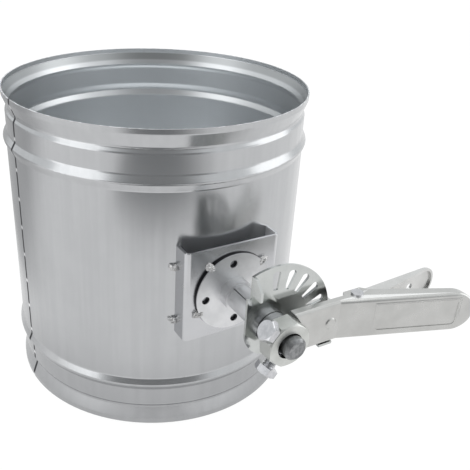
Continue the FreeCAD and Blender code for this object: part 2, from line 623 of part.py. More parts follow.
def set_bolt(name, angle, head_top):
    """Hex bolt along a radius of the shaft, its tip on the shaft; returns the bolt and its bare shank."""
    body = new_body(name)
    turn = math.radians(angle)
    facing = FreeCAD.Rotation(VEC(0, 0, 1), VEC(math.cos(turn), 0, math.sin(turn)))
    body.Placement = FreeCAD.Placement(VEC(0, -VALUES["bolt_station"], VALUES["shaft_height"]), facing)
    bind(body, "Placement.Base.y", "-bolt_station")
    bind(body, "Placement.Base.z", "shaft_height")
    stem = circle(body, "XY_Plane", "0", "0", "bolt_radius", name + "_stem")
    bind(stem, "AttachmentOffset.Base.z", "shaft_radius")
    pad(body, stem, head_top + " - shaft_radius", name + "_shank")
    head = polygon(body, "XY_Plane", [
        ("bolt_head_radius", "0"), ("0.5 * bolt_head_radius", "0.866 * bolt_head_radius"),
        ("-0.5 * bolt_head_radius", "0.866 * bolt_head_radius"), ("-bolt_head_radius", "0"),
        ("-0.5 * bolt_head_radius", "-0.866 * bolt_head_radius"),
        ("0.5 * bolt_head_radius", "-0.866 * bolt_head_radius"),
    ], name + "_hexagon")
    bind(head, "AttachmentOffset.Base.z", head_top + " - bolt_head_thick")
    pad(body, head, "bolt_head_thick", name + "_head")
    shank = doc.addObject("Part::Cylinder", name + "_hole")
    shank.Placement = FreeCAD.Placement(VEC(0, -VALUES["bolt_station"], VALUES["shaft_height"]), facing)
    bind(shank, "Placement.Base.y", "-bolt_station")
    bind(shank, "Placement.Base.z", "shaft_height")
    bind(shank, "Radius", "bolt_radius")
    bind(shank, "Height", "2 * hub_flat")
    return body, shank


hub_set_bolt_upper, upper_hole = set_bolt("hub_set_bolt_upper", UPPER_BOLT_ANGLE, "upper_head_top")
hub_set_bolt_lower, lower_hole = set_bolt("hub_set_bolt_lower", LOWER_BOLT_ANGLE, "lower_head_top")
lever_hub = cut("lever_hub", hub_blank, upper_hole, lower_hole)


# Pressed channels: a solid drawn from the side, rounded at its tip, less a smaller solid of the same form.
def round_tip(body, centre, half, minus_half, name):
    """Trim the free end of a channel to a half circle seen from the front."""
    sketch = new_sketch(body, "XZ_Plane", name)
    middle_at = number(centre)
    arm = number(half)
    arc = Part.ArcOfCircle(Part.Circle(VEC(middle_at, 0, 0), VEC(0, 0, 1), arm), -math.pi / 2, math.pi / 2)
    sketch.addGeometry(arc)
    around = [
        (centre, half), (centre, "3 * lever_half"), (centre + " + 3 * lever_half", "3 * lever_half"),
        (centre + " + 3 * lever_half", "-3 * lever_half"), (centre, "-3 * lever_half"), (centre, minus_half),
    ]
    spots = [VEC(number(x), number(y), 0) for x, y in around]
    for start, stop in zip(spots, spots[1:]):
        sketch.addGeometry(Part.LineSegment(start, stop))
    sketch.addConstraint(Sketcher.Constraint("Coincident", 0, 2, 1, 1))
    for curve in range(1, 5):
        sketch.addConstraint(Sketcher.Constraint("Coincident", curve, 2, curve + 1, 1))
        pin_point(sketch, curve, 2, *around[curve])
    sketch.addConstraint(Sketcher.Constraint("Coincident", 5, 2, 0, 1))
    pin_point(sketch, 0, 3, centre, "0")
    pin_point(sketch, 0, 2, centre, half)
    place = sketch.addConstraint(Sketcher.Constraint("DistanceX", -1, 1, 0, 1, number(centre)))
    bind(sketch, "Constraints[%d]" % place, centre)
    return pocket(body, sketch, "4 * pipe_height", name + "_trim")


lever_blank = new_body("lever_blank")
lever_side = polygon(lever_blank, "XY_Plane", [
    ("lever_start", "-web_front"),
    ("crank_start", "-web_front"),
    ("lever_reach", "-tip_front"),
    ("lever_reach", "-grip_back_end"),
    ("grip_start", "-grip_back_start"),
    ("ear_end", "-ear_back"),
    ("ear_start + 2", "-ear_back"),
    ("ear_start", "-flange_back_end"),
    ("lever_start", "-flange_back_start"),
], "lever_side")
pad(lever_blank, lever_side, "2 * lever_half", "lever_solid", both=True)
doc.recompute()
round_tip(lever_blank, "lever_reach - lever_half", "lever_half", "-lever_half", "lever_tip")


def lever_front(station):
    return VALUES["web_front"] + VALUES["crank_slope"] * max(0, station - VALUES["crank_start"])


def is_lever_bend(edge):
    spot = middle(edge)
    ends = [vertex.Point for vertex in edge.Vertexes]
    on_front = all(abs(-point.y - lever_front(point.x)) < 0.05 for point in ends + [spot])
    return on_front and (abs(spot.z) > 0.9 * VALUES["lever_half"] or spot.x > VALUES["lever_reach"] - 10)


fillet(lever_blank, "lever_bend", is_lever_bend, "lever_bends")
lever_cavity = new_body("lever_cavity")
cavity_side = polygon(lever_cavity, "XY_Plane", [
    ("-hub_flat", "-web_front + lever_sheet"),
    ("crank_start", "-web_front + lever_sheet"),
    ("lever_reach", "-tip_front + lever_sheet"),
    ("lever_reach", "-pipe_radius"),
    ("-hub_flat", "-pipe_radius"),
], "cavity_side")
pad(lever_cavity, cavity_side, "2 * lever_half - 2 * lever_sheet", "cavity_solid", both=True)
doc.recompute()
round_tip(lever_cavity, "lever_reach - lever_half", "lever_half - lever_sheet", "-lever_half + lever_sheet",
          "cavity_tip")
lever_notch = new_body("lever_notch")
notch_outline = polygon(lever_notch, "XZ_Plane", [
    ("0", "2 * lever_half"), ("lever_start", "2 * lever_half"), ("lever_start", "lever_half"),
    ("notch_inner", "notch_rise"), ("0", "notch_rise"),
], "notch_outline")
pad(lever_notch, notch_outline, "2 * tip_front", "notch_solid", both=True)


def crank_spot(station, depth):
    """Point at the lever's middle height, under the grip's front face by the given depth."""
    slope = math.atan(VALUES["crank_slope"])
    inward = VEC(math.sin(slope), math.cos(slope), 0)
    turn = FreeCAD.Rotation(VEC(0, 0, 1), -math.degrees(slope))
    return VEC(station, -lever_front(station), VALUES["shaft_height"]) + inward * depth, turn


# The grip's front carries a shallow sunk panel with rounded corners.
panel = new_body("panel")
panel.Placement = FreeCAD.Placement(*crank_spot(VALUES["panel_start"], VALUES["panel_depth"]))
panel_outline = polygon(panel, "XZ_Plane", [
    ("0", "-panel_half"), ("panel_length", "-panel_half"),
    ("panel_length", "panel_half"), ("0", "panel_half"),
], "panel_outline")
pad(panel, panel_outline, "lever_sheet", "panel_block")
fillet(panel, "panel_round", lambda edge: edge.BoundBox.YLength > VALUES["panel_depth"], "panel_corners")
lever_pin_hole = cylinder("lever_pin_hole", "pivot_radius", "4 * lever_half", "pivot_station", "-pivot_depth",
                          "shaft_height - 2 * lever_half")
lever_channel = cut("lever_channel", lever_blank, lever_cavity, hub_bar, lever_notch, lever_pin_hole, panel)
dimple = doc.addObject("Part::Cone", "dimple")
dimple.Placement.Rotation = ALONG_SHAFT
bind(dimple, "Radius1", "dimple_radius")
bind(dimple, "Radius2", "0.8 * dimple_radius")
bind(dimple, "Height", "dimple_depth")
bind(dimple, "Placement.Base.x", "dimple_station")
bind(dimple, "Placement.Base.y", "-web_front")
bind(dimple, "Placement.Base.z", "shaft_height")
lever = joined("lever", "Part::MultiFuse", [lever_channel, dimple])
lever.Refine = True

# Pivot: rivet through the lever's ears with a flat head outside each.
trigger_pivot = turned("trigger_pivot", [
    ("0", "-lever_half - pivot_head_thick"),
    ("pivot_head_radius", "-lever_half - pivot_head_thick"),
    ("pivot_head_radius", "-lever_half"),
    ("pivot_radius", "-lever_half"),
    ("pivot_radius", "lever_half"),
    ("pivot_head_radius", "lever_half"),
    ("pivot_head_radius", "lever_half + pivot_head_thick"),
    ("0", "lever_half + pivot_head_thick"),
], "XZ_Plane")
bind(trigger_pivot, "Placement.Base.x", "pivot_station")
bind(trigger_pivot, "Placement.Base.y", "-pivot_depth")

# Trigger: channel open toward the lever; its tongue passes the quadrant's rim and has the tooth behind it.
trigger_blank = new_body("trigger_blank")
trigger_side = polygon(trigger_blank, "XY_Plane", [
    ("trigger_start", "-trigger_cheek"),
    ("trigger_start", "-trigger_back"),
    ("trigger_reach", "-trigger_back_end"),
    ("trigger_reach", "-trigger_tip_front"),
    ("trigger_cheek_end", "-trigger_cheek"),
], "trigger_side")
pad(trigger_blank, trigger_side, "2 * trigger_half", "trigger_solid", both=True)
doc.recompute()
round_tip(trigger_blank, "trigger_reach - trigger_half", "trigger_half", "-trigger_half", "trigger_tip")


def trigger_rear(station):
    share = (station - VALUES["trigger_start"]) / (VALUES["trigger_reach"] - VALUES["trigger_start"])
    return VALUES["trigger_back"] + share * (VALUES["trigger_back_end"] - VALUES["trigger_back"])


def is_trigger_bend(edge):
    spot = middle(edge)
    ends = [vertex.Point for vertex in edge.Vertexes]
    on_back = all(abs(point.y + trigger_rear(point.x)) < 0.05 for point in ends + [spot])
    return on_back and (abs(spot.z) > 0.9 * VALUES["trigger_half"] or spot.x > VALUES["trigger_reach"] - 5)


fillet(trigger_blank, "trigger_bend", is_trigger_bend, "trigger_bends")
trigger_cavity = new_body("trigger_cavity")
trigger_room = polygon(trigger_cavity, "XY_Plane", [
    ("0", "-trigger_back - trigger_sheet"),
    ("trigger_start", "-trigger_back - trigger_sheet"),
    ("trigger_reach", "-trigger_back_end - trigger_sheet"),
    ("trigger_reach", "-tip_front"),
    ("0", "-tip_front"),
], "trigger_room")
pad(trigger_cavity, trigger_room, "2 * trigger_half - 2 * trigger_sheet", "trigger_room_solid", both=True)
doc.recompute()
round_tip(trigger_cavity, "trigger_reach - trigger_half", "trigger_half - trigger_sheet",
          "-trigger_half + trigger_sheet", "trigger_room_tip")
trigger_holes = [
    cylinder("trigger_hole_" + side, "trigger_hole_radius", "6 * trigger_sheet", "trigger_hole_" + side,
             "-trigger_back_end + trigger_sheet", "shaft_height", ALONG_SHAFT)
    for side in ("near", "far")
]
trigger_pin_hole = cylinder("trigger_pin_hole", "pivot_radius + running_fit", "4 * lever_half",
                            "pivot_station", "-pivot_depth", "shaft_height - 2 * lever_half")
channel = cut("trigger_channel", trigger_blank, trigger_cavity, trigger_pin_hole, *trigger_holes)
tongue = new_body("tongue")
tongue_side = polygon(tongue, "XY_Plane", [
    ("trigger_start + trigger_sheet", "-trigger_back - trigger_sheet"),
    ("tongue_turn", "-trigger_back - trigger_sheet"),
    ("tongue_turn", "-tongue_front"),
    ("tooth_inner", "-tongue_front"),
    ("tooth_inner", "-tongue_front + tongue_thick"),
    ("tongue_turn + tongue_thick", "-tongue_front + tongue_thick"),
    ("tongue_turn + tongue_thick", "-trigger_back"),
    ("trigger_start + trigger_sheet", "-trigger_back"),
], "tongue_side")
pad(tongue, tongue_side, "2 * tongue_half", "tongue_strip", both=True)
tooth_side = polygon(tongue, "XY_Plane", [
    ("tooth_inner", "-tongue_front + tongue_thick / 2"),
    ("tooth_outer", "-tongue_front + tongue_thick / 2"),
    ("tooth_outer", "-plate_front + plate_thick + tooth_gap"),
    ("tooth_inner", "-plate_front + plate_thick + tooth_gap"),
], "tooth_side")
pad(tongue, tooth_side, "2 * tooth_half", "tooth", both=True)
trigger = joined("trigger", "Part::MultiFuse", [channel, tongue])
trigger.Refine = True


# Hairpin spring: a flat strip looped round the pivot, one leg on the lever's web and one on the trigger's.
def spring_sector(name, radius):
    piece = cylinder(name, radius, "2 * spring_half", "pivot_station", "-pivot_depth",
                     "shaft_height - spring_half",
                     FreeCAD.Rotation(VEC(0, 0, 1), 90 + VALUES["spring_rear_lean"]))
    bind(piece, "Angle", "180 - spring_rear_lean - spring_front_lean")
    return piece


def spring_leg(name, side, lean):
    """Straight leg that leaves the loop at a tangent and leans away from the middle."""
    strip = doc.addObject("Part::Box", name)
    bind(strip, "Length", "spring_leg")
    bind(strip, "Width", "spring_sheet")
    bind(strip, "Height", "2 * spring_half")
    turn = FreeCAD.Rotation(VEC(0, 0, 1), side * VALUES[lean])
    inner = VALUES["spring_radius"] if side > 0 else -VALUES["spring_radius"] - VALUES["spring_sheet"]
    start = turn.multVec(VEC(0, inner, 0))
    strip.Placement = FreeCAD.Placement(VEC(VALUES["pivot_station"], -VALUES["pivot_depth"], 0) + start, turn)
    bind(strip, "Placement.Base.z", "shaft_height - spring_half")
    return strip


spring_loop = cut("spring_loop", spring_sector("spring_outer", "spring_radius + spring_sheet"),
                  cylinder("spring_eye", "spring_radius", "4 * spring_half", "pivot_station", "-pivot_depth",
                           "shaft_height - 2 * spring_half"))
trigger_spring = joined("trigger_spring", "Part::MultiFuse", [
    spring_loop, spring_leg("spring_rear", 1, "spring_rear_lean"),
    spring_leg("spring_front", -1, "spring_front_lean"),
])
trigger_spring.Refine = True

NODES = [
    pipe_body, mounting_bracket, bracket_welds, bearing_flange, flange_welds, bearing_tube, quadrant_plate,
    far_bush, shaft, damper_blade, blade_bolts, blade_nuts, end_washer, retaining_ring, hub_spacer, lever_hub,
    hub_set_bolt_upper, hub_set_bolt_lower, lever, trigger_pivot, trigger, trigger_spring,
]
doc.recompute()
for thing in doc.Objects:
    if "Invalid" in thing.State or "Error" in thing.State:
        raise RuntimeError("%s failed: %s" % (thing.Label, thing.State))
for node in NODES:
    if node.Shape.isNull() or not node.Shape.isValid() or not node.Shape.Solids:
        raise RuntimeError(node.Label + " has no valid solid")
os.makedirs("parts", exist_ok=True)
for node in NODES:
    node.Shape.exportStep("parts/%s.step" % node.Label)
    box = node.Shape.BoundBox
    print("%-20s solids %d  x %.1f..%.1f  y %.1f..%.1f  z %.1f..%.1f" % (
        node.Label, len(node.Shape.Solids), box.XMin, box.XMax, box.YMin, box.YMax, box.ZMin, box.ZMax))
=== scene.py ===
import math

import bmesh
import bpy
from mathutils import Matrix, Vector, noise


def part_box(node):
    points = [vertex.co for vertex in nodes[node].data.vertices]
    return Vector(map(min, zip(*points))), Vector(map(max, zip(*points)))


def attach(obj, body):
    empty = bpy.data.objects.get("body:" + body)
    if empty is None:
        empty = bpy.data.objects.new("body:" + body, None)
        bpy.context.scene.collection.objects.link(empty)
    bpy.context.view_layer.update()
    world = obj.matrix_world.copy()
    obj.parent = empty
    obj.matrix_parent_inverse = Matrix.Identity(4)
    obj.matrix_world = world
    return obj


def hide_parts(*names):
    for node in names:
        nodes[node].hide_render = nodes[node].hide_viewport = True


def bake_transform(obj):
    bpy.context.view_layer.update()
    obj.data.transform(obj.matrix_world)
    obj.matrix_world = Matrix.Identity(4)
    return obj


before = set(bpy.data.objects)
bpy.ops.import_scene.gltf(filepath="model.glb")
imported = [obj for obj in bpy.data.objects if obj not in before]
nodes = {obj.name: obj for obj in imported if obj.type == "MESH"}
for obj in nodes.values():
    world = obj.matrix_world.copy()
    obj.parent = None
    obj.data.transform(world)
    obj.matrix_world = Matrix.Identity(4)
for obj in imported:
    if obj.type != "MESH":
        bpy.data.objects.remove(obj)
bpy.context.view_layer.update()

# Sizes that several pieces share, in metres
PIPE_RADIUS = 0.125
PIPE_HEIGHT = 0.257
SHAFT_HEIGHT = 0.1295
SHAFT_RADIUS = 0.0085

# Sockets of the Mix node: its factor, its two colours and the mixed colour
MIX_FACTOR, MIX_FIRST, MIX_SECOND, MIX_RESULT = 0, 6, 7, 2
WHITE = (1.0, 1.0, 1.0)


def rgba(colour):
    """A colour as a socket takes it; a socket stays as it is."""
    return colour if isinstance(colour, bpy.types.NodeSocket) else (*colour, 1.0)


def scaled(colour, share):
    return tuple(share * part for part in colour)


class Graph:
    """Adds and links the shader nodes of a material or of the world."""

    def __init__(self, owner, output="ShaderNodeOutputMaterial"):
        owner.use_nodes = True
        self.owner = owner
        self.tree = owner.node_tree
        self.tree.nodes.clear()
        self.output = self.add(output)

    def add(self, kind, **settings):
        node = self.tree.nodes.new(kind)
        for key, value in settings.items():
            setattr(node, key, value)
        return node

    def feed(self, socket, value):
        if isinstance(value, bpy.types.NodeSocket):
            self.tree.links.new(value, socket)
        else:
            socket.default_value = value

    def math(self, operation, *values):
        node = self.add("ShaderNodeMath", operation=operation)
        for socket, value in zip(node.inputs, values):
            self.feed(socket, value)
        return node.outputs[0]

    def measure(self, operation, *vectors):
        """One number from vectors: a distance, a length or a dot product."""
        node = self.add("ShaderNodeVectorMath", operation=operation)
        for socket, vector in zip(node.inputs, vectors):
            self.feed(socket, vector)
        return node.outputs["Value"]

    def flattened(self, vector, keep):
        """The vector with the directions that keep sets to zero left out."""
        node = self.add("ShaderNodeVectorMath", operation="MULTIPLY")
        self.feed(node.inputs[0], vector)
        self.feed(node.inputs[1], keep)
        return node.outputs["Vector"]

    def split(self, vector):
        node = self.add("ShaderNodeSeparateXYZ")
        self.feed(node.inputs[0], vector)
        return node.outputs

    def mix(self, factor, first, second):
        node = self.add("ShaderNodeMix", data_type="RGBA")
        self.feed(node.inputs[MIX_FACTOR], factor)
        self.feed(node.inputs[MIX_FIRST], rgba(first))
        self.feed(node.inputs[MIX_SECOND], rgba(second))
        return node.outputs[MIX_RESULT]

    def ramp(self, value, low, high, to_low=0.0, to_high=1.0):
        """A soft step from one value to another between two limits."""
        node = self.add("ShaderNodeMapRange", interpolation_type="SMOOTHSTEP")
        self.feed(node.inputs["Value"], value)
        node.inputs["From Min"].default_value = low
        node.inputs["From Max"].default_value = high
        node.inputs["To Min"].default_value = to_low
        node.inputs["To Max"].default_value = to_high
        return node.outputs["Result"]

    def band(self, value, rise, fall):
        """A soft step up where rise says, and down again where fall says."""
        return self.math("MULTIPLY", self.ramp(value, *rise), self.ramp(value, *fall, 1.0, 0.0))

    def noise(self, vector, scale, detail=4.0, rough=0.55):
        node = self.add("ShaderNodeTexNoise")
        self.feed(node.inputs["Vector"], vector)
        node.inputs["Scale"].default_value = scale
        node.inputs["Detail"].default_value = detail
        node.inputs["Roughness"].default_value = rough
        return node.outputs["Fac"]

    def stretched(self, vector, scale):
        node = self.add("ShaderNodeMapping")
        self.feed(node.inputs["Vector"], vector)
        node.inputs["Scale"].default_value = scale
        return node.outputs["Vector"]

    def choose(self, factor, first, second):
        """The first shader where the factor is 0, the second where it is 1."""
        node = self.add("ShaderNodeMixShader")
        for socket, value in zip(node.inputs, (factor, first, second)):
            self.feed(socket, value)
        return node.outputs[0]

    def surface(self, shader):
        self.feed(self.output.inputs["Surface"], shader)


# Shares of streaks, clouds and grain in a metal's colour, roughness and relief
STREAK_SHARE = 0.6
CLOUD_SHARE = 0.4
COLOUR_SPAN = (0.35, 0.65)
ROUGH_SPAN = (0.3, 0.7)
GRAIN_SCALE = 900.0
RELIEF_SHARE = 0.3
RELIEF_STRENGTH = 0.25


class Metal(Graph):
    """Rolled or plated metal: fine streaks, broad clouds and a roughness that follows both."""

    def __init__(self, name, light, dark, rough, spread, streak, scale, clouds=36.0, bump=0.0001):
        super().__init__(bpy.data.materials.new(name))
        self.place = self.add("ShaderNodeTexCoord").outputs["Object"]
        streaks = self.noise(self.stretched(self.place, streak), scale, detail=5.0, rough=0.6)
        cloudy = self.math("MULTIPLY", self.noise(self.place, clouds, rough=0.6), CLOUD_SHARE)
        self.blend = self.math("MULTIPLY_ADD", streaks, STREAK_SHARE, cloudy)
        self.colour = self.mix(self.ramp(self.blend, *COLOUR_SPAN), dark, light)
        self.roughness = self.ramp(self.blend, *ROUGH_SPAN, rough + spread, rough - spread)
        self.normal = None
        grain = self.noise(self.place, GRAIN_SCALE, detail=2.0, rough=0.5)
        grain = self.math("MULTIPLY", grain, RELIEF_SHARE)
        self.emboss(self.math("MULTIPLY_ADD", streaks, RELIEF_SHARE, grain), RELIEF_STRENGTH, bump)

    def facing(self):
        return self.add("ShaderNodeNewGeometry").outputs["Normal"]

    def emboss(self, height, strength, depth):
        """Adds a relief on top of what the surface already has."""
        bump = self.add("ShaderNodeBump")
        bump.inputs["Strength"].default_value = strength
        bump.inputs["Distance"].default_value = depth
        self.feed(bump.inputs["Height"], height)
        if self.normal is not None:
            self.feed(bump.inputs["Normal"], self.normal)
        self.normal = bump.outputs["Normal"]

    def finished(self):
        shader = self.add("ShaderNodeBsdfPrincipled")
        self.feed(shader.inputs["Base Color"], self.colour)
        self.feed(shader.inputs["Roughness"], self.roughness)
        shader.inputs["Metallic"].default_value = 1.0
        self.feed(shader.inputs["Normal"], self.normal)
        self.surface(shader.outputs[0])
        return self.owner


# Stitched seam up the pipe's wall at -X: a wavering dark line broken by a bright stitch every 25 mm
SEAM_PLACE = -0.0106
SEAM_WAVER = 0.0016
SEAM_WAVER_SCALE = 60.0
SEAM_EDGE = (0.0011, 0.0019)
STITCH_STEP = 0.025
FIRST_STITCH = 0.0006
STITCH_EDGE = (0.0008, 0.0014)
SEAM_LINE_EDGE = (0.0013, 0.0022)
SEAM_LINE_STRENGTH = 0.92
SEAM_LINE_ROUGH = 0.4
SEAM_LINE_COLOUR = (0.02, 0.02, 0.024)
STITCH_COLOUR = (0.92, 0.92, 0.93)


def stitched_seam(sheet):
    x, y, z = sheet.split(sheet.place)
    uneven = sheet.noise(sheet.stretched(sheet.place, (0, 0, 1)), SEAM_WAVER_SCALE, detail=2.0)
    middle = sheet.math("MULTIPLY_ADD", uneven, SEAM_WAVER, SEAM_PLACE)
    aside = sheet.math("ABSOLUTE", sheet.math("SUBTRACT", y, middle))
    near = sheet.ramp(aside, *SEAM_EDGE, 1.0, 0.0)
    strip = sheet.math("MULTIPLY", near, sheet.math("LESS_THAN", x, 0.0))
    from_stitch = sheet.math("PINGPONG", sheet.math("SUBTRACT", z, FIRST_STITCH), STITCH_STEP / 2)
    line = sheet.math("MULTIPLY", strip, sheet.ramp(from_stitch, *SEAM_LINE_EDGE))
    stitch = sheet.math("MULTIPLY", strip, sheet.ramp(from_stitch, *STITCH_EDGE, 1.0, 0.0))
    shown = sheet.math("MULTIPLY", line, SEAM_LINE_STRENGTH)
    sheet.colour = sheet.mix(shown, sheet.colour, SEAM_LINE_COLOUR)
    sheet.colour = sheet.mix(stitch, sheet.colour, STITCH_COLOUR)
    sheet.roughness = sheet.math("MULTIPLY_ADD", line, SEAM_LINE_ROUGH, sheet.roughness)


# Inner faces: what faces the pipe's axis gets a lighter colour of the same metal, painted light for the
# light that fills the inside, and a roughness of its own
LEVEL = (1.0, 1.0, 0.0)
INNER_CLOUDS = 0.96


def painted_light_tint(metal, tint):
    return metal.mix(metal.blend, tint, scaled(tint, INNER_CLOUDS))


def paint_light_inside(metal, colour, rough):
    outward = metal.measure("DOT_PRODUCT", metal.flattened(metal.place, LEVEL), metal.facing())
    inner = metal.math("LESS_THAN", outward, 0.0)
    metal.colour = metal.mix(inner, metal.colour, colour)
    change = metal.math("SUBTRACT", rough, metal.roughness)
    metal.roughness = metal.math("MULTIPLY_ADD", inner, change, metal.roughness)


# Pipe's ends inside, painted light and shade: the wall lighter, what looks up painted darker to tone down
# the lamps' reflection, the flare to each rim darker still, the rim light again
SLOPE_SPAN = (0.12, 0.34)
UPWARD_SHADE_SHARE = 0.8
FLARE_SPAN = (0.1175, 0.1195)
RIM_SPAN = (0.1240, 0.1250)


def pipe_inside_light_and_shade(sheet, wall, flare):
    upward = sheet.split(sheet.facing())["Z"]
    height = sheet.split(sheet.place)["Z"]
    from_middle = sheet.math("ABSOLUTE", sheet.math("SUBTRACT", height, PIPE_HEIGHT / 2))
    colour = painted_light_tint(sheet, wall)
    colour = sheet.mix(sheet.ramp(upward, *SLOPE_SPAN), colour, scaled(wall, UPWARD_SHADE_SHARE))
    colour = sheet.mix(sheet.ramp(from_middle, *FLARE_SPAN), colour, flare)
    return sheet.mix(sheet.ramp(from_middle, *RIM_SPAN), colour, wall)


# Bearing flange: a painted shadow round it on the bracket, and painted shade at the back of its own edge
# and holes
ACROSS_SHAFT = (1.0, 0.0, 1.0)
SHAFT_MIDDLE = (0.0, 0.0, SHAFT_HEIGHT)
FLANGE_RADIUS = 0.0320
SHADOW_RISE = (FLANGE_RADIUS - 0.0012, FLANGE_RADIUS - 0.0008)
SHADOW_FALL = (FLANGE_RADIUS - 0.0002, FLANGE_RADIUS + 0.0006)
PAINTED_SHADE_COLOUR = (0.03, 0.03, 0.033)
COLLAR_REACH = 0.02
SIDEWAYS = 0.4
EDGE_BACK = (-0.1373, -0.1369)


def from_shaft(metal):
    return metal.measure("DISTANCE", metal.flattened(metal.place, ACROSS_SHAFT), SHAFT_MIDDLE)


def paint_shadow_round_flange(sheet):
    # Painted shadow: a dark ring on the bracket along the flange's edge
    sheet.colour = sheet.mix(sheet.band(from_shaft(sheet), SHADOW_RISE, SHADOW_FALL), sheet.colour, PAINTED_SHADE_COLOUR)


def paint_shade_on_flange_edges(plate):
    # Painted shade: the rim and hole walls at the back of the flange are coloured dark
    forward = plate.math("ABSOLUTE", plate.split(plate.facing())["Y"])
    sideways = plate.math("LESS_THAN", forward, SIDEWAYS)
    dark = plate.math("MULTIPLY", sideways, plate.math("GREATER_THAN", from_shaft(plate), COLLAR_REACH))
    dark = plate.math("MULTIPLY", dark, plate.ramp(plate.split(plate.place)["Y"], *EDGE_BACK))
    plate.colour = plate.mix(dark, plate.colour, PAINTED_SHADE_COLOUR)


# Lever's panel: a soft raised border round it that fades out toward the lower side
PANEL_ALONG = (0.0750, 0.1346)
PANEL_RISE = (0.1190, 0.1400)
BORDER_RISE = (0.0002, 0.0014)
BORDER_FALL = (0.0014, 0.0026)
BORDER_FADE = (PANEL_RISE[0] + 0.002, PANEL_RISE[0] + 0.010)
BORDER_DEPTH = 0.0004


def panel_border(plate):
    x, y, z = plate.split(plate.place)
    reach = []
    for value, (low, high) in ((x, PANEL_ALONG), (z, PANEL_RISE)):
        away = plate.math("ABSOLUTE", plate.math("SUBTRACT", value, (low + high) / 2))
        reach.append(plate.math("SUBTRACT", away, (high - low) / 2))
    ridge = plate.band(plate.math("MAXIMUM", *reach), BORDER_RISE, BORDER_FALL)
    plate.emboss(plate.math("MULTIPLY", ridge, plate.ramp(z, *BORDER_FADE)), 1.0, BORDER_DEPTH)


# Finishes: sheet, zinc plate, fasteners, bar and welds
def galvanised_pipe():
    sheet = Metal("galvanised_sheet", light=(0.492, 0.499, 0.508), dark=(0.462, 0.469, 0.478),
                  rough=0.21, spread=0.02, streak=(30.0, 30.0, 1.0), scale=4.0)
    stitched_seam(sheet)
    # Painted light and painted shade inside the pipe
    inside = pipe_inside_light_and_shade(sheet, wall=(0.78, 0.798, 0.812), flare=(0.40, 0.412, 0.418))
    paint_light_inside(sheet, inside, rough=0.34)
    return sheet.finished()


def blade_sheet():
    return Metal("blade_sheet", light=(0.62, 0.64, 0.655), dark=(0.56, 0.58, 0.595),
                 rough=0.30, spread=0.03, streak=(30.0, 1.0, 30.0), scale=4.0).finished()


def bracket_sheet():
    sheet = Metal("bracket_sheet", light=(0.57, 0.575, 0.59), dark=(0.53, 0.535, 0.55),
                  rough=0.26, spread=0.03, streak=(1.0, 1.0, 6.0), scale=5.0)
    # Painted shadow round the bearing flange
    paint_shadow_round_flange(sheet)
    # Painted light: the bracket's inner faces are lighter, for the light that comes in at its top
    paint_light_inside(sheet, painted_light_tint(sheet, (0.9, 0.905, 0.92)), rough=0.7)
    return sheet.finished()


def plated(name, light, dark, rough, spread, scale=20.0, bump=0.0001):
    """Zinc plate, which is cloudy and has no direction."""
    return Metal(name, light, dark, rough, spread, (3.0, 3.0, 3.0), scale, clouds=72.0, bump=bump)


def flange_zinc():
    plate = plated("flange_zinc", (0.70, 0.705, 0.715), (0.62, 0.625, 0.635), rough=0.36, spread=0.05)
    # Painted shade on the flange's rim and hole walls
    paint_shade_on_flange_edges(plate)
    return plate.finished()


def lever_zinc():
    plate = plated("lever_zinc", (0.54, 0.54, 0.528), (0.49, 0.49, 0.478), rough=0.30, spread=0.04)
    # Painted light: the lever's inner faces are lighter than its outer faces
    paint_light_inside(plate, painted_light_tint(plate, (0.85, 0.85, 0.84)), rough=0.4)
    panel_border(plate)
    return plate.finished()


# Trigger: zinc lighter than the lever's, partly its own tone and partly painted light against the lever's
# shade over it
def trigger_zinc():
    return plated("trigger_zinc", (0.64, 0.64, 0.63), (0.57, 0.57, 0.56),
                  rough=0.32, spread=0.04).finished()


def quadrant_zinc():
    return plated("bright_zinc", (0.555, 0.57, 0.56), (0.505, 0.52, 0.51),
                  rough=0.15, spread=0.03, bump=0.00005).finished()


def hub_zinc():
    return plated("hub_zinc", (0.62, 0.63, 0.61), (0.53, 0.54, 0.52),
                  rough=0.36, spread=0.06, scale=30.0).finished()


def bush_zinc():
    return plated("zinc_plate", (0.55, 0.55, 0.535), (0.50, 0.50, 0.485),
                  rough=0.30, spread=0.04).finished()


def fastener_zinc():
    return Metal("zinc_fastener", light=(0.62, 0.62, 0.64), dark=(0.48, 0.485, 0.50),
                 rough=0.20, spread=0.05, streak=(6.0, 6.0, 6.0), scale=40.0).finished()


def bar_steel():
    return Metal("bar_steel", light=(0.33, 0.335, 0.34), dark=(0.18, 0.185, 0.19),
                 rough=0.38, spread=0.08, streak=(6.0, 1.0, 6.0), scale=60.0, bump=0.0003).finished()


def weld_metal():
    return Metal("weld_metal", light=(0.66, 0.66, 0.66), dark=(0.38, 0.375, 0.37),
                 rough=0.32, spread=0.08, streak=(4.0, 4.0, 4.0), scale=120.0, bump=0.0006).finished()


# Which finish each CAD node gets
fastener = fastener_zinc()
bar = bar_steel()
weld = weld_metal()
FINISHES = (
    (galvanised_pipe(), "pipe_body"),
    (blade_sheet(), "damper_blade"),
    (bracket_sheet(), "mounting_bracket"),
    (flange_zinc(), "bearing_flange", "bearing_tube"),
    (quadrant_zinc(), "quadrant_plate"),
    (lever_zinc(), "lever"),
    (hub_zinc(), "lever_hub"),
    (trigger_zinc(), "trigger"),
    (bush_zinc(), "far_bush"),
    (weld, "bracket_welds", "flange_welds"),
    (bar, "shaft", "retaining_ring", "trigger_spring"),
    (fastener, "blade_bolts", "blade_nuts", "end_washer", "hub_spacer", "trigger_pivot",
     "hub_set_bolt_upper", "hub_set_bolt_lower"),
)
for finish, *names in FINISHES:
    for name in names:
        nodes[name].data.materials.clear()
        nodes[name].data.materials.append(finish)

# New pieces: vertices closer than this become one
MERGE_DISTANCE = 1e-6


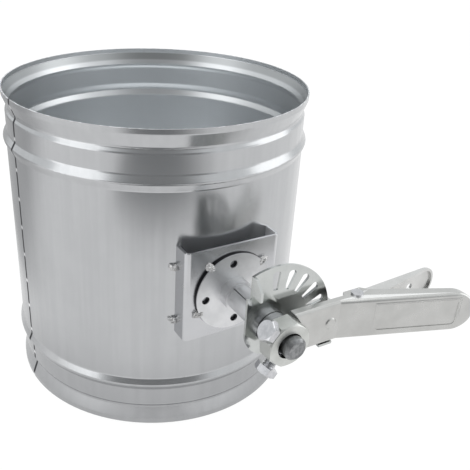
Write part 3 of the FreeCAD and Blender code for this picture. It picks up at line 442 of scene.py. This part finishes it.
def piece_from(bm, name, finish, slot, body, *replaced):
    """Turns a bmesh into a finished piece that stands for the given nodes, on a body where one is given."""
    bmesh.ops.remove_doubles(bm, verts=bm.verts, dist=MERGE_DISTANCE)
    bmesh.ops.recalc_face_normals(bm, faces=bm.faces)
    mesh = bpy.data.meshes.new(name)
    bm.to_mesh(mesh)
    bm.free()
    mesh.materials.append(finish)
    piece = bpy.data.objects.new(name, mesh)
    bpy.context.scene.collection.objects.link(piece)
    if body:
        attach(piece, body)
    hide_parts(*replaced)
    return piece


def around_shaft(degrees):
    """Direction square to the shaft, turned from +X toward +Z."""
    return Vector((math.cos(math.radians(degrees)), 0.0, math.sin(math.radians(degrees))))


# Set bolts: a hexagon head with a turned face, and a ringed shank down to the shaft
BOLT_STATION = 0.206
SHANK_RADIUS = 0.004
SHANK_SIDES = 24
SHANK_OVERLAP = 0.0004
THREAD_PITCH = 0.00125
THREAD_ROOT = 0.86
HEAD_RADIUS = 0.0082
HEAD_THICK = 0.0055
HEAD_TURN = math.radians(30)
HEAD_CUTS = 7
FACE_RADIUS = 0.0067
FACE_SLOPE = 0.6


def ring_up(bm, ring, rise, shrink=1.0):
    """Extrudes a ring of edges along Z, scales it about Z, and returns the new edges and vertices."""
    made = bmesh.ops.extrude_edge_only(bm, edges=ring)["geom"]
    verts = [item for item in made if isinstance(item, bmesh.types.BMVert)]
    bmesh.ops.translate(bm, verts=verts, vec=(0.0, 0.0, rise))
    bmesh.ops.scale(bm, verts=verts, vec=(shrink, shrink, 1.0))
    return [item for item in made if isinstance(item, bmesh.types.BMEdge)], verts


def ringed_shank(length):
    """Shank that stands on the shaft, ringed like a thread, whose plain end goes into the head."""
    bm = bmesh.new()
    bmesh.ops.create_circle(bm, segments=SHANK_SIDES, radius=SHANK_RADIUS, cap_ends=True)
    bmesh.ops.translate(bm, verts=bm.verts, vec=(0.0, 0.0, SHAFT_RADIUS))
    ring = [edge for edge in bm.edges if edge.is_boundary]
    turns = int(length / THREAD_PITCH)
    for turn in range(turns):
        ring = ring_up(bm, ring, THREAD_PITCH / 2, THREAD_ROOT)[0]
        ring = ring_up(bm, ring, THREAD_PITCH / 2, 1 / THREAD_ROOT)[0]
    ring = ring_up(bm, ring, length - turns * THREAD_PITCH + SHANK_OVERLAP)[0]
    bmesh.ops.edgeloop_fill(bm, edges=ring)
    return bm


def hexagon_head():
    """Head that stands on Z = 0, with a round face from which the corners slope away."""
    head = bmesh.new()
    bmesh.ops.create_circle(head, segments=6, radius=HEAD_RADIUS, cap_ends=True)
    bmesh.ops.rotate(head, verts=head.verts, matrix=Matrix.Rotation(HEAD_TURN, 3, "Z"))
    bmesh.ops.subdivide_edges(head, edges=list(head.edges), cuts=HEAD_CUTS, use_grid_fill=False)
    ring = [edge for edge in head.edges if edge.is_boundary]
    ring, verts = ring_up(head, ring, HEAD_THICK)
    for vert in verts:
        vert.co.z -= FACE_SLOPE * max(0.0, vert.co.xy.length - FACE_RADIUS)
    ring, verts = ring_up(head, ring, 0.0)
    for vert in verts:
        spot = vert.co.xy.normalized() * FACE_RADIUS
        vert.co = (spot.x, spot.y, HEAD_THICK)
    bmesh.ops.edgeloop_fill(head, edges=ring)
    return head


def set_bolt(name, degrees, head_top):
    bm = ringed_shank(head_top - HEAD_THICK - SHAFT_RADIUS)
    head = hexagon_head()
    bmesh.ops.translate(head, verts=head.verts, vec=(0.0, 0.0, head_top - HEAD_THICK))
    shell = bpy.data.meshes.new(name + "_head")
    head.to_mesh(shell)
    head.free()
    bm.from_mesh(shell)
    bpy.data.meshes.remove(shell)
    turn = Vector((0.0, 0.0, 1.0)).rotation_difference(around_shaft(degrees)).to_matrix().to_4x4()
    station = Matrix.Translation((0.0, -BOLT_STATION, SHAFT_HEIGHT))
    bmesh.ops.transform(bm, matrix=station @ turn, verts=bm.verts)
    piece_from(bm, name + "_turned", fastener, "zinc_fastener", "rotor", name)


set_bolt("hub_set_bolt_upper", degrees=141.0, head_top=0.0233)
set_bolt("hub_set_bolt_lower", degrees=233.0, head_top=0.0270)

# Hairpin spring: a flat strip looped round the pivot, whose rear leg follows the trigger
SPRING_RADIUS = 0.0034
SPRING_SHEET = 0.0008
SPRING_HALF = 0.004
SPRING_LEG = 0.0145
SPRING_CUTS = 59
REAR_LEAN = math.radians(5)
FRONT_LEAN = math.radians(30)


def hairpin_spring():
    low, high = (Vector(corner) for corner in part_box("trigger_pivot"))
    pivot = Vector(((low.x + high.x) / 2, (low.y + high.y) / 2, SHAFT_HEIGHT))
    loop = SPRING_RADIUS + SPRING_SHEET / 2
    arc = loop * (math.pi - REAR_LEAN - FRONT_LEAN)
    length = 2 * SPRING_LEG + arc
    bm = bmesh.new()
    bmesh.ops.create_cube(bm, size=1.0)
    bmesh.ops.scale(bm, verts=bm.verts, vec=(length, SPRING_SHEET, 2 * SPRING_HALF))
    runs = [edge for edge in bm.edges if abs(edge.verts[0].co.x - edge.verts[1].co.x) > length / 2]
    bmesh.ops.subdivide_edges(bm, edges=runs, cuts=SPRING_CUTS)
    for vert in bm.verts:
        run = vert.co.x + length / 2 - SPRING_LEG
        bent = min(max(run, 0.0), arc)
        angle = math.pi / 2 + REAR_LEAN + bent / loop
        outward = Vector((math.cos(angle), math.sin(angle), 0.0))
        ahead = Vector((-math.sin(angle), math.cos(angle), 0.0))
        height = Vector((0.0, 0.0, vert.co.z))
        vert.co = pivot + outward * (loop + vert.co.y) + ahead * (run - bent) + height
    strip = piece_from(bm, "trigger_spring_strip", bar, "spring_wire", None, "trigger_spring")
    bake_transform(strip)


hairpin_spring()

# Weld tacks: uneven lumps, longer than wide, each on the line where its pieces meet
LUMP_LONG, LUMP_WIDE, LUMP_HIGH = 1.45, 0.75, 0.95
BROAD_SWELL, BROAD_SCALE, BROAD_STEP = 0.34, 1.7, 3.1
FINE_SWELL, FINE_SCALE, FINE_STEP, FINE_START = 0.10, 4.5, 1.3, 2.0
BRACKET_HALF = 0.04
LEG_WALL = math.sqrt(PIPE_RADIUS ** 2 - BRACKET_HALF ** 2)
LEG_TACK_SIZE = 0.0034
LEG_TACK_REACH = 0.0405
LEG_TACK_OUT = 0.0003
LEG_TACK_RISES = (0.021, -0.026)
LEG_TACK_LEAN = Vector((0.9, 0.3, 0.3))
RIM_TACK_SIZE = 0.0031
RIM_TACK_RADIUS = 0.0318
RIM_TACK_STATION = 0.1362
RIM_TACK_ANGLES = (39, 130, 204, 310)


def weld_lumps(name, spots, size, seed):
    """One lump at each spot, its long side along the direction given with it."""
    bm = bmesh.new()
    for count, (spot, along) in enumerate(spots):
        lump = bmesh.ops.create_icosphere(bm, subdivisions=4, radius=1.0)["verts"]
        turn = Vector((1.0, 0.0, 0.0)).rotation_difference(along).to_matrix()
        for vert in lump:
            broad = noise.noise(vert.co * BROAD_SCALE + Vector((seed, count * BROAD_STEP, 0.0)))
            fine = noise.noise(vert.co * FINE_SCALE + Vector((count * FINE_STEP, seed, FINE_START)))
            swell = 1.0 + BROAD_SWELL * broad + FINE_SWELL * fine
            shape = Vector((vert.co.x * LUMP_LONG, vert.co.y * LUMP_WIDE, vert.co.z * LUMP_HIGH))
            vert.co = turn @ shape * swell * size + spot
    piece_from(bm, name + "_lumps", weld, "weld_metal", "housing", name)


leg_spots = []
for side in (-1, 1):
    for rise in LEG_TACK_RISES:
        spot = Vector((side * LEG_TACK_REACH, -LEG_WALL - LEG_TACK_OUT, SHAFT_HEIGHT + rise))
        leg_spots.append((spot, LEG_TACK_LEAN * Vector((side, 1.0, 1.0))))
weld_lumps("bracket_welds", leg_spots, LEG_TACK_SIZE, seed=1.0)

rim_spots = []
for degrees in RIM_TACK_ANGLES:
    outward = around_shaft(degrees)
    spot = outward * RIM_TACK_RADIUS + Vector((0.0, -RIM_TACK_STATION, SHAFT_HEIGHT))
    rim_spots.append((spot, outward))
weld_lumps("flange_welds", rim_spots, RIM_TACK_SIZE, seed=7.0)

# Lamps: three soft boxes that face the part
LAMP_TARGET = Vector((0.02, -0.05, 0.12))


def soft_box(name, spot, wide, tall, power):
    data = bpy.data.lights.new(name, "AREA")
    data.shape = "RECTANGLE"
    data.size = wide
    data.size_y = tall
    data.energy = power
    lamp = bpy.data.objects.new(name, data)
    bpy.context.scene.collection.objects.link(lamp)
    lamp.location = spot
    lamp.rotation_euler = (LAMP_TARGET - Vector(spot)).to_track_quat("-Z", "Y").to_euler()


soft_box("overhead", spot=(0.1, 0.15, 1.6), wide=1.4, tall=1.4, power=6.5)
soft_box("left_box", spot=(-1.5, -0.2, 0.6), wide=1.0, tall=1.2, power=3.6)
soft_box("right_box", spot=(1.4, -0.6, 0.6), wide=1.0, tall=1.2, power=4.2)

# Floor: a pale sheet that shows white, with darker patches that only reflections see
TOWARD = Vector((-0.43, -0.903, 0.0))
ASIDE = Vector((0.903, -0.43, 0.0))
FLOOR_SIZE = 12.0
FLOOR_LEVEL = -0.0005
FLOOR_GLOW = 1.08
GLOW_SHARE = 0.88
PAPER_CLOUDS = 3.0
PAPER_DARK = (0.61, 0.61, 0.62)
PAPER_LIGHT = (0.64, 0.64, 0.65)
PATCH_COLOUR = (0.2, 0.205, 0.21)
FRONT_START = (0.42, 0.60)
FRONT_LEFT = (-0.34, -0.26)
FRONT_RIGHT = (0.15, 0.65)
BACK_END, BACK_DARK = (-0.16, 0.12), 0.62
BACK_RIGHT = (-0.28, -0.16)
FOOT_SHADOW_END, FOOT_SHADOW_DARK = (0.14, 0.24), 0.3


def floor_patches(graph, spot):
    """How dark reflections see the floor: in front, at the back on the left, and with a painted shadow
    round the foot.
    """
    toward = graph.measure("DOT_PRODUCT", spot, TOWARD)
    aside = graph.measure("DOT_PRODUCT", spot, ASIDE)
    front = graph.math("MULTIPLY", graph.ramp(toward, *FRONT_START),
                       graph.band(aside, FRONT_LEFT, FRONT_RIGHT))
    back = graph.math("MULTIPLY", graph.ramp(toward, *BACK_END, BACK_DARK, 0.0),
                      graph.ramp(aside, *BACK_RIGHT, 1.0, 0.0))
    # Painted shadow round the pipe's foot, which only reflections see
    foot = graph.ramp(graph.measure("LENGTH", spot), *FOOT_SHADOW_END, FOOT_SHADOW_DARK, 0.0)
    return graph.math("MAXIMUM", front, graph.math("MAXIMUM", back, foot))


def floor_white():
    graph = Graph(bpy.data.materials.new("floor_white"))
    rays = graph.add("ShaderNodeLightPath").outputs
    spot = graph.add("ShaderNodeTexCoord").outputs["Object"]
    reflected = graph.math("SUBTRACT", 1.0, rays["Is Camera Ray"])
    patch = graph.math("MULTIPLY", floor_patches(graph, spot), reflected)
    paper = graph.add("ShaderNodeBsdfDiffuse")
    graph.feed(paper.inputs["Color"], graph.mix(graph.noise(spot, PAPER_CLOUDS), PAPER_DARK, PAPER_LIGHT))
    glow = graph.add("ShaderNodeEmission")
    graph.feed(glow.inputs["Color"], graph.mix(patch, WHITE, PATCH_COLOUR))
    glow.inputs["Strength"].default_value = FLOOR_GLOW
    shown = graph.math("MAXIMUM", rays["Is Glossy Ray"], rays["Is Transmission Ray"])
    shown = graph.math("MAXIMUM", rays["Is Camera Ray"], shown)
    shown = graph.math("MULTIPLY", shown, GLOW_SHARE)
    graph.surface(graph.choose(shown, paper.outputs[0], glow.outputs[0]))
    return graph.owner


bpy.ops.mesh.primitive_plane_add(size=FLOOR_SIZE, location=(0.0, 0.0, FLOOR_LEVEL))
floor = bpy.context.object
floor.name = "floor"
floor.data.materials.append(floor_white())

# Room: bright all round, darker toward the viewer, and white behind the part
ROOM_STRENGTH = 0.98
ROOM_LIGHT = (0.97, 0.99, 1.0)
ROOM_DARK = (0.30, 0.305, 0.31)
DARK_SPAN = (0.74, 0.86)
DARK_RISE = 0.2
DARK_SIDE = (TOWARD * math.cos(DARK_RISE) + Vector((0.0, 0.0, math.sin(DARK_RISE)))).normalized()
BACKDROP_STRENGTH = 1.02


def room_light():
    graph = Graph(bpy.data.worlds.new("studio"), "ShaderNodeOutputWorld")
    rays = graph.add("ShaderNodeLightPath").outputs
    direction = graph.add("ShaderNodeTexCoord").outputs["Generated"]
    grade = graph.add("ShaderNodeValToRGB")
    graph.feed(grade.inputs["Fac"], graph.measure("DOT_PRODUCT", direction, DARK_SIDE))
    for stop, place, colour in zip(grade.color_ramp.elements, DARK_SPAN, (ROOM_LIGHT, ROOM_DARK)):
        stop.position = place
        stop.color = rgba(colour)
    room = graph.add("ShaderNodeBackground")
    graph.feed(room.inputs["Color"], grade.outputs["Color"])
    room.inputs["Strength"].default_value = ROOM_STRENGTH
    backdrop = graph.add("ShaderNodeBackground")
    backdrop.inputs["Color"].default_value = rgba(WHITE)
    backdrop.inputs["Strength"].default_value = BACKDROP_STRENGTH
    graph.surface(graph.choose(rays["Is Camera Ray"], room.outputs[0], backdrop.outputs[0]))
    return graph.owner


bpy.context.scene.world = room_light()

# Camera at the photograph's angle, with its lens in the photograph's pixels
PHOTO_WIDTH = 470.0
SENSOR_WIDTH = 36.0
FOCAL_LENGTH = 655.2353
SHIFT_ACROSS = 31.4323
SHIFT_UP = -8.7138
NEAREST = 0.01
CAMERA_SPOT = Vector((-0.2333805, -0.4901081, 0.3971953))
YAW, PITCH, ROLL = 0.525672, 0.468884, 0.04528


def photo_camera():
    forward = Vector((math.sin(YAW) * math.cos(PITCH), math.cos(YAW) * math.cos(PITCH), -math.sin(PITCH)))
    right = Vector((math.cos(YAW), -math.sin(YAW), 0.0))
    up = right.cross(forward)
    rolled_right = right * math.cos(ROLL) + up * math.sin(ROLL)
    rolled_up = up * math.cos(ROLL) - right * math.sin(ROLL)
    lens = bpy.data.cameras.new("photo_camera")
    lens.sensor_width = SENSOR_WIDTH
    lens.lens = FOCAL_LENGTH / PHOTO_WIDTH * SENSOR_WIDTH
    lens.shift_x = SHIFT_ACROSS / PHOTO_WIDTH
    lens.shift_y = SHIFT_UP / PHOTO_WIDTH
    lens.clip_start = NEAREST
    camera = bpy.data.objects.new("photo_camera", lens)
    bpy.context.scene.collection.objects.link(camera)
    basis = Matrix((rolled_right, rolled_up, -forward)).transposed().to_4x4()
    camera.matrix_world = Matrix.Translation(CAMERA_SPOT) @ basis
    return camera


bpy.context.scene.camera = photo_camera()
bpy.context.scene.view_settings.view_transform = "Standard"
